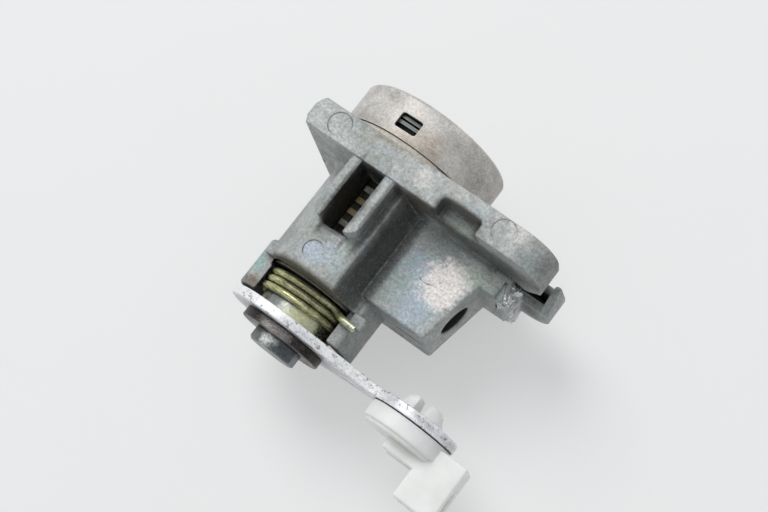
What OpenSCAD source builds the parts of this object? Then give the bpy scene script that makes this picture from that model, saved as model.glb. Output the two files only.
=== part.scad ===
// Vehicle door lock cylinder: die-cast housing, wafer plug, sprung cam lever and rod clip.
// The plug turns about Y. The flange's front face is y = 0, the cap is towards +Y, the lever towards -Y.

/* [Flange] */
// Thickness of the flange
flange_t = 5.2; // [3.5:0.1:7]
// Reach of the flange to the left end
flange_left = 14.45; // [14:0.05:18]
// Radius of the left end seen from above
end_r = 4; // [3:0.1:6]
// Reach of the flange to the rounded end
flange_right = 31.3; // [30:0.1:38]
// Height of the flange's top edge above the axis
flange_top = 16.7; // [15.8:0.1:20]
// Depth of the flange's bottom edge below the axis
flange_low = 15; // [14.5:0.1:18]
// Radius of the rounded end's upper corner
lobe_r = 6.5; // [4:0.1:8]
// Radius of the small corners
corner_r = 0.9; // [0.6:0.1:2]
// Width of the notch in the rear top edge
notch_w = 7.3; // [4:0.1:9]
// Depth of the notch from the top edge
notch_h = 4.7; // [2:0.1:6]

/* [Collar and cap] */
// Outer radius of the face cap
cap_r = 14; // [13.4:0.1:14.8]
// Front of the cap, measured from the flange
cap_front = 9.06; // [8.6:0.01:11]
// Wall of the pressed cap
cap_wall = 0.45; // [0.3:0.05:0.6]
// Height of the bare step between the flange and the cap
step_h = 1.6; // [1:0.1:2.2]
// Width of the window in the cap
window_w = 4.1; // [3:0.1:5]
// Length of the window in the cap
window_l = 2.7; // [2.2:0.1:3]
// Sideways place of the window
window_x = -0.8; // [-2:0.1:2]

/* [Barrel] */
// Outer radius of the barrel
barrel_r = 10.3; // [9.8:0.1:11.4]
// Rear end of the barrel, measured from the flange's front
barrel_end = 24.3; // [23.6:0.1:27]
// Height of the rails' top above the axis
rail_top = 16.4; // [12:0.1:16.5]
// Width of the slot between the rails
slot_w = 4.5; // [3.8:0.1:5]
// Width of each rail at its top
rail_w = 1.9; // [1.2:0.1:2.6]
// Rear end of the rails
rail_end = 16.2; // [14:0.1:18]
// Rear end of the slot's floor
slot_end = 16.3; // [16.2:0.1:19]

/* [Screw block, arm and hook] */
// Height of the block's top above the axis
block_top = 6.5; // [5:0.1:8]
// Depth of the block's underside below the axis
block_low = 6; // [5:0.1:8]
// Rear face of the block
block_rear = 21.2; // [20:0.1:23]
// Rear corner of the slanted face
block_x = 20.2; // [18:0.1:24]
// Slant of the screw face
face_slant = 10.9; // [0:0.1:15]
// Rear face of the arm
arm_rear = 9.3; // [8:0.1:10]
// End of the arm
arm_end = 25.3; // [24:0.1:27]
// Radius of the screw hole
screw_r = 2.9; // [2:0.05:3.5]
// Depth of the screw hole
screw_depth = 12; // [8:0.5:13]
// Height of the screw hole's axis
screw_z = 0.2; // [-2:0.1:2]
// Outer end of the hook
hook_end = 33.6; // [32.6:0.1:38]

/* [Lugs] */
// Inner radius of the lugs around the spring
lug_in_r = 9; // [8.8:0.1:9.6]
// Outer face of the right lug
lug_x = 10.7; // [10.2:0.1:12]
// Outer radius of the left ear and its boss
ear_r = 11.1; // [10.6:0.1:12]
// Length of the lugs behind the barrel
lug_len = 6.1; // [5.6:0.1:7]
// Height of the lugs above the axis
lug_top = 5; // [3:0.1:6.5]

/* [Plug and wafers] */
// Radius of the plug's body
plug_r = 8.8; // [8.4:0.05:8.9]
// Wall of the collar round the plug's head
collar_wall = 3.05; // [2.6:0.05:3.4]
// Radius of the hub behind the barrel
hub_r = 6.4; // [5.6:0.1:6.6]
// Number of wafers
wafer_n = 8; // [5:1:8]
// Spacing of the wafers
wafer_pitch = 2.25; // [2.15:0.05:2.3]
// Place of the first wafer
wafer_y = -4.5; // [-5:0.05:-4]
// Thickness of a wafer
wafer_t = 1; // [0.7:0.05:1.2]
// Width of a wafer
wafer_w = 4.2; // [3.4:0.1:4.3]
// Width of the keyway
key_w = 2.3; // [1.8:0.1:2.5]
// Height of the keyway
key_h = 8.8; // [7:0.1:9]
// Travel of a wafer inside the plug
wafer_travel = 0.6; // [0.4:0.1:0.8]

/* [Spring, lever and bolt] */
// Wire of the return spring
wire_d = 1.3; // [0.9:0.05:1.35]
// Outer radius of the return spring
coil_r = 8.3; // [8.2:0.05:8.4]
// Turns of the return spring
coil_n = 2; // [1:1:3]
// Thickness of the lever
lever_t = 1.7; // [1:0.1:2.5]
// Radius of the lever's disc
lever_r = 11; // [9:0.1:12]
// Distance from the axis to the eye
eye_x = 26.2; // [22:0.1:34]
// Height of the eye above the axis
eye_z = 1; // [-3:0.1:3]
// Radius of the eye
eye_r = 7.6; // [5.6:0.1:8.5]
// Height of the lever's neck
neck_h = 7; // [5:0.1:9]
// Radius of the washer
washer_r = 7.5; // [5.5:0.1:8]
// Thickness of the washer
washer_t = 1.7; // [0.8:0.1:2.2]
// Width across the flats of the bolt head
hex_af = 8; // [7:0.1:9]
// Height of the bolt head
hex_h = 2.3; // [2:0.1:3.5]
// Radius of the bolt's shank
bolt_r = 2.45; // [1.9:0.05:2.6]

/* [Rod clip] */
// Radius of the clip's disc
clip_r = 7.4; // [6:0.1:8]
// Thickness of the clip's disc
clip_t = 3.4; // [2:0.1:4]
// Radius of the clip's pivot
pivot_r = 3.4; // [2.6:0.1:4]
// Radius of the rod bore
rod_r = 2; // [1.5:0.1:2.5]

/* [Fits] */
// Radial clearance of the turning plug
run_fit = 0.06; // [0.03:0.01:0.1]
// Gap between seated pieces of different bodies
seat_gap = 0.2; // [0.1:0.05:0.3]
// Clearance round a wafer in its slot
wafer_fit = 0.06; // [0.03:0.01:0.1]

/* [Hidden] */
$fn = 64;
eps = 0.01;
bore_r = plug_r + run_fit;
head_back = 3.6;                         // rear face of the plug's head
head_front = cap_front - cap_wall - 0.3; // front face of the plug's head
collar_r = cap_r - cap_wall;             // the cap is pressed on face to face
collar_front = cap_front - cap_wall;
head_fit = 0.1;                          // clearance round the plug's head
head_r = collar_r - collar_wall - head_fit;
cap_round = 0.8;                         // rounding of the cap's front edge
cap_cut = 9;                             // depth of the cut that makes the window
cap_lip = 1.4;                           // how far the cap's face covers the plug's head
window_y = step_h + 1.5 + window_l / 2;
staple_h = 2.2;                          // depth of the staple's pocket
staple_floor = collar_r - staple_h;
staple_bar = 0.65;                       // width of a bar of the staple
staple_t = 0.8;                          // height of a bar
staple_top = collar_r - 0.6;
staple_foot = 0.7;
staple_over = 0.4;                       // how far the bars reach past the window
staple_gap = 0.1;
pocket_half = window_w / 2 + staple_over + staple_gap;
seal_y = head_back + 1.9;
seal_r = 0.5;
seal_groove = 1.1;                       // depth of the seal's groove
seal_width = 1.4;
face_b = [block_x + (block_rear - arm_rear) * tan(face_slant), -arm_rear];
screw_y = -14.9;
screw_x = block_x + (block_rear + screw_y) * tan(face_slant);
lobe_x = flange_right - lobe_r;
lobe_low = 7;                            // underside of the rounded end
lug_end = barrel_end + lug_len;
ear_top = lug_top + 0.5;
boss_front = barrel_end - 2.65;
barrel_rear = barrel_end - 0.2;           // the plug's end shows behind it
pad_x = 5.7;                             // right side of the pad that carries the rails
pad_top = 13.1;
pad_foot = 8.2;                          // half width of its foot
pad_low = 5.5;
pad_knee = 10.2;                         // height where its steep side ends
pad_mark = [-0.65, -20.7];               // ejector marks on the pad and on the flange
flange_marks = [[-8.8, -2.45], [22.6, -2.2]];
notch_x = 11.8;                          // left side of the notch
notch_y = 2.6;                           // its front wall
notch_r = 0.9;
mark_r = 2;                              // ejector marks
mark_t = 0.12;
hook_low = 5.4;
lug_low = 4.7;
lever_front = lug_end + 0.5;             // the lever's front face, towards the housing
lever_back = lever_front + lever_t;
washer_back = lever_back + washer_t;
bolt_back = washer_back + hex_h;
hub_front = barrel_end + 0.2;            // step from the plug's body to its hub
wafer_end = wafer_y - (wafer_n - 1) * wafer_pitch - wafer_t / 2;
track_half = wafer_w / 2 + 0.15;
bolt_room = 2.15;                        // from the last wafer back to the bolt's tip
bolt_tip = wafer_end - bolt_room;
tail_r = 4.2;
tail_flat = 3.2;
tail_fit = 0.05;
track_depth = 1.9;                       // groove along the plug where the wafers stand
wafer_top = plug_r - wafer_travel;       // ends of a wafer when it stands level
foot_x = 3.9;                            // reach of the wafer's spring foot
foot_t = 1;
foot_z = -0.5;
pocket_low = -4.3;                       // floor of the wafer spring's pocket
wafer_wire = 0.25;
sleeve_in_r = hub_r + 0.02;
stop_w = 2;                              // half width of the stop tab: it meets the lugs at 45 degrees
coil_gap = 0.04;
coil_pitch = wire_d + coil_gap;
coil_front = barrel_end + 0.35;
coil_mid = coil_r - wire_d / 2;
shutter_y = head_front - 0.75;           // front of the flap
shutter_t = 0.7;
shutter_w = 4.4;
shutter_h = 9.6;
shutter_eye = 0.78;                      // radius of its two eyes on the pin
shutter_eye_h = 2.2;
pin_r = 0.5;
pin_x = 2.2;
pin_y = shutter_y - shutter_t / 2;
clip_front = lever_back + seat_gap;
rod_y = clip_front + clip_t + 3;
block_half = 3.6;                        // half height of the clip's rod holder
holder_x = 4.4;                          // near side of the holder from the pivot
holder_end = 11.6;
holder_wall = 4;                         // from the rod's axis back to the holder's rear
foot_len = 1.5;
foot_back = 2;
clip_edge = 0.6;                         // step at the disc's rear edge
barb_h = 0.9;
barb_l = 2.4;
slit_w = 2;                              // slit between the two prongs

// Solid that runs along Y from y1 back to y2, from a flat outline seen from the rear
module along_y(y1, y2) {
    translate([0, y1, 0]) rotate([90, 0, 0]) linear_extrude(y1 - y2) children();
}

// Round bar or bore along Y from y1 back to y2
module bar_y(r, y1, y2) {
    along_y(y1, y2) circle(r);
}

// Rectangle in x and z with its low corner and high corner
module pane(x1, z1, x2, z2) {
    translate([x1, z1]) square([x2 - x1, z2 - z1]);
}

// Box from its low corner to its high corner
module block(low, high) {
    translate(low) cube(high - low);
}

// Ring of round section about the Y axis
module ring_y(mid_r, wire_r, y) {
    translate([0, y, 0]) rotate([90, 0, 0]) rotate_extrude() translate([mid_r, 0]) circle(wire_r, $fn = 20);
}

// Outline of the flange: flat left end, rounded lobe at the upper right, cut back below it
module flange_outline() {
    r = corner_r;
    translate([-flange_left + r, flange_top - r]) circle(r);
    translate([-flange_left + r, -flange_low + r]) circle(r);
    translate([lobe_x, flange_top - lobe_r]) circle(lobe_r);
    translate([flange_right - r, lobe_low + r]) circle(r);
    pane(-flange_left, -flange_low + r, lobe_x - 2, flange_top - r);
    pane(-flange_left + r, flange_top - r - eps, lobe_x, flange_top);
    pane(-flange_left + r, -flange_low, lobe_x - 2, -flange_low + r + eps);
    pane(lobe_x - 2 - eps, lobe_low, flange_right - r, flange_top - lobe_r);
    pane(flange_right - r - eps, lobe_low + r, flange_right, flange_top - lobe_r);
}

// Section of the pad on the barrel: steep on the right, leaning on the left, top edges broken
module pad_outline() {
    edge = 0.6;
    soft = 0.15;
    left = -3.9;
    polygon([[-pad_foot, pad_low], [-pad_foot, pad_low + 0.7], [left, pad_top - edge],
        [left + edge, pad_top - soft], [left + 2 * edge + 0.1, pad_top], [pad_x - edge, pad_top],
        [pad_x - soft, pad_top - 0.2], [pad_x, pad_top - edge], [pad_x + 0.2, pad_knee],
        [pad_foot - 0.2, pad_low + 0.9], [pad_foot - 0.2, pad_low]]);
}

// One rail beside the slot, its rear outer corner rounded
module rail(side) {
    x1 = slot_w / 2;
    x2 = x1 + rail_w;
    mirror([side < 0 ? 1 : 0, 0, 0]) difference() {
        union() {
            along_y(-flange_t + eps, -rail_end + rail_w)
                polygon([[x1, 4], [x1, rail_top], [x2 - 0.4, rail_top], [x2, rail_top - 0.4], [x2, 4]]);
            translate([x1, -rail_end + rail_w, 4]) linear_extrude(rail_top - 4)
                intersection() {
                    circle(rail_w);
                    translate([0, -rail_w]) square([rail_w, rail_w + eps]);
                }
        }
        bar_y(bore_r + 0.4, 1, -barrel_end);
    }
}

// Broken end of the arm, left rough
module stub() {
    x = arm_end - 1;
    intersection() {
        block([x - 0.4, -arm_rear - 0.3, -5.2], [x + 4.2, -flange_t + 0.5, block_top - 0.4]);
        union() {
            translate([x + 1, -8.4, -4.6]) rotate([6, -8, 20]) cube([2.4, 2.8, 10]);
            translate([x + 0.4, -9.5, -3.6]) rotate([-6, 9, -14]) cube([2.2, 3, 9]);
            translate([x + 1.8, -7.2, -5]) rotate([4, 10, -16]) cube([1.6, 2.2, 7.4]);
            block([x - 0.4, -arm_rear + 0.3, -5], [x + 2.2, -flange_t, block_top - 0.9]);
        }
    }
}

// Screw block, arm and hook
module block_arm() {
    difference() {
        translate([0, 0, -block_low]) linear_extrude(block_low + block_top)
            polygon([[5, -flange_t + eps], [5, -block_rear], [block_x, -block_rear], face_b,
                [arm_end, -arm_rear], [arm_end, -flange_t + eps]]);
        // parting slit on the rear face
        block([12.2, -block_rear - 1, -4.1], [14.9, -block_rear + 0.9, -3.5]);
    }
    stub();
    block([arm_end - 2, -flange_t - 1, -hook_low], [arm_end + 1, -2, lobe_low + 1]);
}

// Hook: a pocket open at the top, its outer corner rounded underneath
module hook() {
    r = 5;
    low = -hook_low + r;
    intersection() {
        along_y(-1.5, -6.2) {
            polygon([[arm_end - 2, -hook_low], [hook_end - r, -hook_low], [hook_end, low], [hook_end, low + 0.6],
                [hook_end - 0.8, 5], [arm_end - 2, 5]]);
            translate([hook_end - r, low]) circle(r);
        }
        union() {
            block([arm_end - 2, -6.2, -hook_low], [hook_end, -4.8, 2]);
            block([arm_end - 1, -6.2, -hook_low], [hook_end, -1.5, -hook_low + 1.4]);
            block([arm_end - 1, -3, -hook_low], [hook_end, -1.5, 1.5]);
            difference() {
                block([hook_end - 1.8, -6.2, -hook_low], [hook_end, -1.5, 4.2]);
                translate([hook_end - 3, -6.8, 2]) rotate([28, 0, 0]) cube([4, 4, 4]);
            }
        }
    }
}

// Right lug and left ear behind the barrel, hollowed round the spring
module lugs() {
    difference() {
        union() {
            along_y(-block_rear + 1, -lug_end) polygon([[5.5, -lug_low], [lug_x, -lug_low], [lug_x - 0.2, 1.5],
                [lug_x - 1, lug_top], [5.5, lug_top]]);
            intersection() {
                bar_y(ear_r, -boss_front, -lug_end);
                block([-ear_r, -lug_end, -lug_low], [-5.5, -boss_front, ear_top]);
            }
            intersection() {
                bar_y(ear_r, -boss_front, -barrel_end);
                block([-ear_r, -barrel_end, -lug_low - 1], [-5.5, -boss_front, ear_top + 0.8]);
            }
        }
        bar_y(lug_in_r, -barrel_end, -lug_end - 1);
        bar_y(bore_r + 0.4, 1, -barrel_end - 1);
    }
    // tab that the spring's tang lies against
    block([lug_x - 1.9, -barrel_end - 1.8, lug_top - 1], [lug_x + 0.5, -barrel_end + 0.5, lug_top + 0.5]);
}

module housing() {
    color([0.58, 0.59, 0.57]) difference() {
        union() {
            difference() {
                intersection() {
                    along_y(0, -flange_t) flange_outline();
                    // left end rounded from the front face to the rear face
                    translate([0, 0, -flange_low - 1]) linear_extrude(flange_low + flange_top + 2) union() {
                        translate([-flange_left + end_r, -flange_t * 0.53]) circle(end_r);
                        translate([-flange_left + end_r, -flange_t - 1]) square([flange_left + flange_right, flange_t + 2]);
                    }
                }
                translate([notch_x, 0, flange_top - notch_h]) linear_extrude(notch_h + 1) union() {
                    translate([0, -flange_t - 1]) square([notch_w, flange_t + 1 - notch_y - notch_r]);
                    translate([notch_r, -notch_y - 2 * notch_r]) square([notch_w - 2 * notch_r, 2 * notch_r]);
                    for (x = [notch_r, notch_w - notch_r]) translate([x, -notch_y - notch_r]) circle(notch_r);
                }
            }
            bar_y(cap_r, step_h, -eps);
            bar_y(collar_r, collar_front, step_h - eps);
            bar_y(barrel_r, -flange_t + eps, -barrel_rear);
            // pad on the barrel that carries the rails
            along_y(-flange_t + eps, -barrel_rear) pad_outline();
            // fillet between the barrel and the flange
            difference() {
                bar_y(barrel_r + 1, -flange_t + eps, -flange_t - 1);
                ring_y(barrel_r + 1, 1, -flange_t - 1);
            }
            rail(1);
            rail(-1);
            block_arm();
            hook();
            lugs();
            // bare wall between the rails in front of the slot
            block([-slot_w / 2, -flange_t - eps, 7], [slot_w / 2, -flange_t + 1, rail_top - 1]);
        }
        bar_y(bore_r, collar_front + 1, -barrel_end - 1);
        bar_y(head_r + head_fit, collar_front + 1, head_back - head_fit);
        // slot between the rails, down to the bore
        block([-slot_w / 2, -slot_end, 0], [slot_w / 2, -flange_t, rail_top + 1]);
        // channel for the wafers under the plug
        block([-slot_w / 2, -barrel_end + 3, -bore_r - 0.6], [slot_w / 2, -flange_t + 2, 0]);
        // pocket of the staple under the cap's window
        translate([window_x, window_y, 0]) block([-pocket_half, -window_l / 2 - staple_gap, staple_floor],
            [pocket_half, window_l / 2 + 2 * staple_gap, cap_r]);
        // ejector marks on the flange's top and on the barrel
        for (p = flange_marks) translate([p[0], p[1], flange_top - mark_t])
            cylinder(r = mark_r, h = 1);
        translate([pad_mark[0], pad_mark[1], pad_top - mark_t]) cylinder(r = mark_r - 0.3, h = 1);
        // screw hole in the slanted face
        translate([screw_x, screw_y, screw_z]) rotate([0, 0, -face_slant]) rotate([0, 90, 0])
            translate([0, 0, -screw_depth]) cylinder(r = screw_r, h = screw_depth + 3);
    }
}

module face_cap() {
    color([0.78, 0.77, 0.74]) difference() {
        union() {
            bar_y(cap_r, cap_front - cap_round, step_h + 0.05);
            bar_y(cap_r - cap_round, cap_front, step_h + 0.05);
            ring_y(cap_r - cap_round, cap_round, cap_front - cap_round);
        }
        bar_y(collar_r, collar_front, 0);
        bar_y(head_r - cap_lip, cap_front + 1, 0);
        translate([window_x - window_w / 2, window_y - window_l / 2, cap_r - cap_cut])
            cube([window_w, window_l, cap_cut + 1]);
    }
}

// Steel staple in the collar's pocket: two bars on two feet
module cap_staple() {
    x1 = window_x - window_w / 2 - staple_over;
    x2 = window_x + window_w / 2 + staple_over;
    top = staple_top;
    color([0.55, 0.56, 0.58]) for (y = [window_y + window_l / 2 - staple_bar - staple_gap, window_y - 0.35]) {
        block([x1, y, top - staple_t], [x2, y + staple_bar, top]);
        block([x1, y, staple_floor], [x1 + staple_foot, y + staple_bar, top]);
        block([x2 - staple_foot, y, staple_floor], [x2, y + staple_bar, top]);
    }
}

module key_plug() {
    color([0.62, 0.62, 0.6]) difference() {
        union() {
            bar_y(head_r, head_front, head_back);
            bar_y(plug_r, head_back + eps, -hub_front);
            bar_y(hub_r, -hub_front + eps, -lever_front);
            // tail with two flats that carries the lever
            along_y(-lever_front + eps, -lever_back + 0.15) intersection() {
                circle(tail_r);
                square([2 * tail_r, 2 * tail_flat], center = true);
            }
        }
        // keyway
        block([-key_w / 2, wafer_y - wafer_n * wafer_pitch, -key_h / 2],
            [key_w / 2, head_front + 1, key_h / 2]);
        // tracks along the top and the bottom where the wafers stand clear
        for (s = [0, 1]) mirror([0, 0, s])
            block([-track_half, wafer_end - wafer_t / 2, plug_r - track_depth],
                [track_half, wafer_y + wafer_t, plug_r + 1]);
        // seal groove in the head
        difference() {
            bar_y(head_r + 1, seal_y + seal_width / 2, seal_y - seal_width / 2);
            bar_y(head_r - seal_groove, seal_y + seal_width, seal_y - seal_width);
        }
        // shutter pocket behind the face
        block([-shutter_w / 2 - 0.3, 2.2, -shutter_h / 2 - 0.15],
            [pin_x + 0.8, head_front + 1, shutter_h / 2 + 0.15]);
        block([pin_x - pin_r - 0.02, pin_y - pin_r - 0.02, -shutter_h / 2 - 1],
            [pin_x + pin_r + 0.02, head_front + 1, shutter_h / 2 + 1]);
        for (i = [1 : wafer_n]) wafer_slot(wafer_y - (i - 1) * wafer_pitch);
        // bolt hole
        bar_y(bolt_r + 0.03, bolt_tip + 1, -lever_back - 1);
    }
}

// Slot through the plug for one wafer, with the pocket of its spring
module wafer_slot(y) {
    w = wafer_w / 2 + wafer_fit;
    t = wafer_t / 2 + wafer_fit;
    block([-w, y - t, -plug_r - 1], [w, y + t, plug_r + 1]);
    block([0, y - t, pocket_low], [foot_x + wafer_fit, y + t, foot_z + foot_t + 0.3]);
}

module plug_face() {
    color([0.75, 0.75, 0.76]) difference() {
        bar_y(head_r - 1.7, head_front + 0.6, head_front);
        block([-key_w / 2 - 0.1, head_front - 1, -key_h / 2 - 0.1],
            [key_w / 2 + 0.1, head_front + 2, key_h / 2 + 0.1]);
    }
}

module plug_seal() {
    color([0.1, 0.1, 0.1]) ring_y(head_r - seal_r - 0.05, seal_r, seal_y);
}

module shutter() {
    color([0.7, 0.7, 0.7]) difference() {
        union() {
            block([-shutter_w / 2, shutter_y - shutter_t, -shutter_h / 2 + 0.1],
                [pin_x, shutter_y, shutter_h / 2 - 0.1]);
            translate([pin_x, pin_y, -shutter_h / 2 + 0.1]) cylinder(r = shutter_eye, h = shutter_eye_h);
            translate([pin_x, pin_y, shutter_h / 2 - 0.1 - shutter_eye_h])
                cylinder(r = shutter_eye, h = shutter_eye_h);
        }
        translate([pin_x, pin_y, -shutter_h]) cylinder(r = pin_r + 0.05, h = 2 * shutter_h);
        block([pin_x - 1.5, shutter_y - 2, -shutter_h / 2 + shutter_eye_h + 0.2],
            [pin_x + 1, shutter_y + 1, shutter_h / 2 - shutter_eye_h - 0.2]);
    }
}

module shutter_pin() {
    color([0.6, 0.6, 0.62]) translate([pin_x, pin_y, -shutter_h / 2 - 0.9])
        cylinder(r = pin_r, h = shutter_h + 1.8);
}

// Torsion spring of the shutter, its turns side by side on the pin
module shutter_spring() {
    color([0.5, 0.5, 0.5]) for (i = [0 : 4]) translate([pin_x, pin_y, -1.1 + i * 0.55])
        rotate_extrude() translate([pin_r + 0.2, 0]) circle(0.15, $fn = 16);
}

// Wafer seen along Y: plate with the key's window and a foot for the spring
module wafer(i) {
    y = wafer_y - (i - 1) * wafer_pitch;
    color(i % 2 == 0 ? [0.72, 0.62, 0.38] : [0.7, 0.7, 0.68])
        along_y(y + wafer_t / 2, y - wafer_t / 2) difference() {
            union() {
                intersection() {
                    square([wafer_w, 2 * plug_r], center = true);
                    circle(wafer_top);
                }
                pane(0, foot_z, foot_x, foot_z + foot_t);
            }
            pane(-key_w / 2 - 0.1, -key_h / 2 - 0.1, key_w / 2 + 0.1, key_h / 2 + 0.1 + wafer_travel);
        }
}

function helix(r, x, y, z, turns, pitch, steps) = [for (k = [0 : turns * steps])
    [x + r * cos(360 * k / steps), y + r * sin(360 * k / steps), z + pitch * k / steps]];

// Tube of round section with its ring k at path point k, for a path that keeps clear of the z direction
module tube(path, r, sides) {
    n = len(path);
    function dir(k) = let (d = path[min(k + 1, n - 1)] - path[max(k - 1, 0)]) d / norm(d);
    function side(k) = let (s = cross(dir(k), [0, 0, 1])) s / norm(s);
    points = [for (k = [0 : n - 1]) let (s = side(k), u = cross(s, dir(k))) for (j = [0 : sides - 1])
        path[k] + r * (cos(360 * j / sides) * s + sin(360 * j / sides) * u)];
    faces = concat([[for (j = [0 : sides - 1]) j]], [[for (j = [sides - 1 : -1 : 0]) (n - 1) * sides + j]],
        [for (k = [0 : n - 2]) for (j = [0 : sides - 1])
            [k * sides + j, (k + 1) * sides + j, (k + 1) * sides + (j + 1) % sides, k * sides + (j + 1) % sides]]);
    polyhedron(points, faces);
}

// Coil under a wafer's foot
module wafer_spring(i) {
    y = wafer_y - (i - 1) * wafer_pitch;
    r = wafer_t / 2 - wafer_wire / 2;
    turns = 4;
    free = foot_z - pocket_low - wafer_wire - 0.1;
    color([0.6, 0.6, 0.6]) tube(helix(r, (wafer_w / 2 + foot_x) / 2 + 0.1, y, pocket_low + wafer_wire / 2 + 0.05,
        turns, free / turns, 10), wafer_wire / 2, 5);
}

// Return spring: close coil about Y, one end bent out over the lug's tab, the other back towards the lever
module return_spring() {
    steps = 24;
    first = 46;
    last = 360 * coil_n + 236;
    wire_r = wire_d / 2;
    top = lug_top + 0.55 + wire_r;
    back = coil_front + wire_r;
    end_back = back + coil_pitch * (last - first) / 360;
    bend_r = 1.5;
    // the lug's end, from its tip to the coil's first point
    tang = [[lug_x - 0.2, top, back + 0.9], [8.1, top - 0.05, back + 0.75], [7.4, top - 0.3, back + 0.58],
        [6.75, top - 0.72, back + 0.35], [6.05, top - 0.9, back + 0.12]];
    coil = [for (a = [first : 360 / steps : last])
        [coil_mid * cos(a), coil_mid * sin(a), back + coil_pitch * (a - first) / 360]];
    // the lever's end, bent off the coil's last point
    leg = [for (a = [20 : 15 : 65]) [coil_mid * cos(last) - bend_r * sin(a) * sin(last),
        coil_mid * sin(last) + bend_r * sin(a) * cos(last), end_back + bend_r * (1 - cos(a))]];
    tip = leg[3] + 0.75 * [-sin(last) * cos(65), cos(last) * cos(65), sin(65)];
    color([0.72, 0.71, 0.38]) rotate([90, 0, 0]) tube(concat(tang, coil, leg, [tip]), wire_r, 10);
}

module spring_sleeve() {
    y1 = barrel_end + 0.5;
    color([0.7, 0.66, 0.3]) difference() {
        union() {
            bar_y(hub_r + 0.45, -y1, -lever_front + 0.02);
            // stop tab under the coil, between the ear and the lug
            block([-stop_w, -lever_front + 0.02, -lug_in_r - 0.8],
                [stop_w, -lever_front + 1.3, -hub_r - 0.2]);
        }
        bar_y(sleeve_in_r, -barrel_end, -lever_back);
    }
}

// Lever: disc, neck and eye
module cam_lever() {
    neck_x = eye_x - eye_r - 0.6;
    neck_end = eye_x - 3;
    color([0.72, 0.73, 0.75]) difference() {
        union() {
            bar_y(lever_r, -lever_front, -lever_back);
            translate([eye_x, 0, eye_z]) bar_y(eye_r, -lever_front, -lever_back);
            along_y(-lever_front, -lever_back) rotate(atan2(eye_z, eye_x))
                polygon([[lever_r * 0.42, lever_r * 0.9], [neck_x, neck_h / 2], [neck_end, eye_r * 0.88],
                    [neck_end, -eye_r * 0.88], [neck_x, -neck_h / 2], [lever_r * 0.42, -lever_r * 0.9]]);
        }
        along_y(-barrel_end, -washer_back) intersection() {
            circle(tail_r + tail_fit);
            square([2 * tail_r + 1, 2 * (tail_flat + tail_fit)], center = true);
        }
        translate([eye_x, 0, eye_z]) bar_y(pivot_r + run_fit, -barrel_end, -washer_back);
    }
}

module lever_washer() {
    color([0.4, 0.37, 0.33]) difference() {
        bar_y(washer_r, -lever_back, -washer_back);
        bar_y(bolt_r + 0.1, -lever_front, -washer_back - 1);
    }
}

module hex_bolt() {
    color([0.33, 0.37, 0.41]) {
        intersection() {
            along_y(-washer_back, -bolt_back) rotate(23.8) circle(r = hex_af / 2 / cos(30), $fn = 6);
            // chamfer on the corners of the head
            translate([0, -washer_back, 0]) rotate([90, 0, 0])
                cylinder(r1 = hex_af * 0.577 + hex_h * 1.7, r2 = hex_af * 0.5, h = hex_h + eps);
        }
        bar_y(bolt_r, bolt_tip, -washer_back - eps);
    }
}

// Nylon clip: pivot with two snap prongs, disc behind the lever and the rod holder
module rod_clip() {
    barb = pivot_r + barb_h;
    tip = lever_front - barb_l - seat_gap;
    color([0.9, 0.9, 0.88]) translate([eye_x, 0, eye_z]) difference() {
        union() {
            difference() {
                union() {
                    bar_y(pivot_r, -tip - 0.6, -clip_front);
                    // barbs that hold the clip in the eye
                    translate([0, -lever_front + seat_gap, 0]) rotate([-90, 0, 0])
                        cylinder(r1 = barb, r2 = pivot_r - 0.6, h = barb_l);
                }
                block([-slit_w / 2, -lever_front - 2 * seat_gap, -barb - 1], [slit_w / 2, 0, barb + 1]);
            }
            bar_y(clip_r, -clip_front, -clip_front - clip_t + clip_edge);
            bar_y(clip_r - clip_edge, -clip_front, -clip_front - clip_t);
            // rod holder beside and behind the disc
            block([holder_x, -rod_y - holder_wall, -block_half],
                [holder_end, -clip_front - 2 * seat_gap, block_half]);
            block([-foot_len, -clip_front - clip_t - foot_back, -block_half],
                [holder_x + clip_edge, -clip_front - 2 * seat_gap, block_half]);
        }
        // rod bore along X and its entry slot from the rear
        translate([-holder_x, -rod_y, 0]) rotate([0, 90, 0]) cylinder(r = rod_r, h = 2 * holder_end);
        block([-holder_x, -rod_y - holder_wall - 2, -rod_r * 0.6], [2 * holder_end, -rod_y, rod_r * 0.6]);
    }
}

housing();
face_cap();
cap_staple();
key_plug();
plug_face();
plug_seal();
shutter();
shutter_pin();
shutter_spring();
wafer(1);  // wafer_1
wafer(2);  // wafer_2
wafer(3);  // wafer_3
wafer(4);  // wafer_4
wafer(5);  // wafer_5
wafer(6);  // wafer_6
wafer(7);  // wafer_7
wafer(8);  // wafer_8
wafer_spring(1);  // wafer_spring_1
wafer_spring(2);  // wafer_spring_2
wafer_spring(3);  // wafer_spring_3
wafer_spring(4);  // wafer_spring_4
wafer_spring(5);  // wafer_spring_5
wafer_spring(6);  // wafer_spring_6
wafer_spring(7);  // wafer_spring_7
wafer_spring(8);  // wafer_spring_8
return_spring();
spring_sleeve();
cam_lever();
lever_washer();
hex_bolt();
rod_clip();
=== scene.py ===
import math
import bpy
import bmesh
from mathutils import Matrix, Vector


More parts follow.
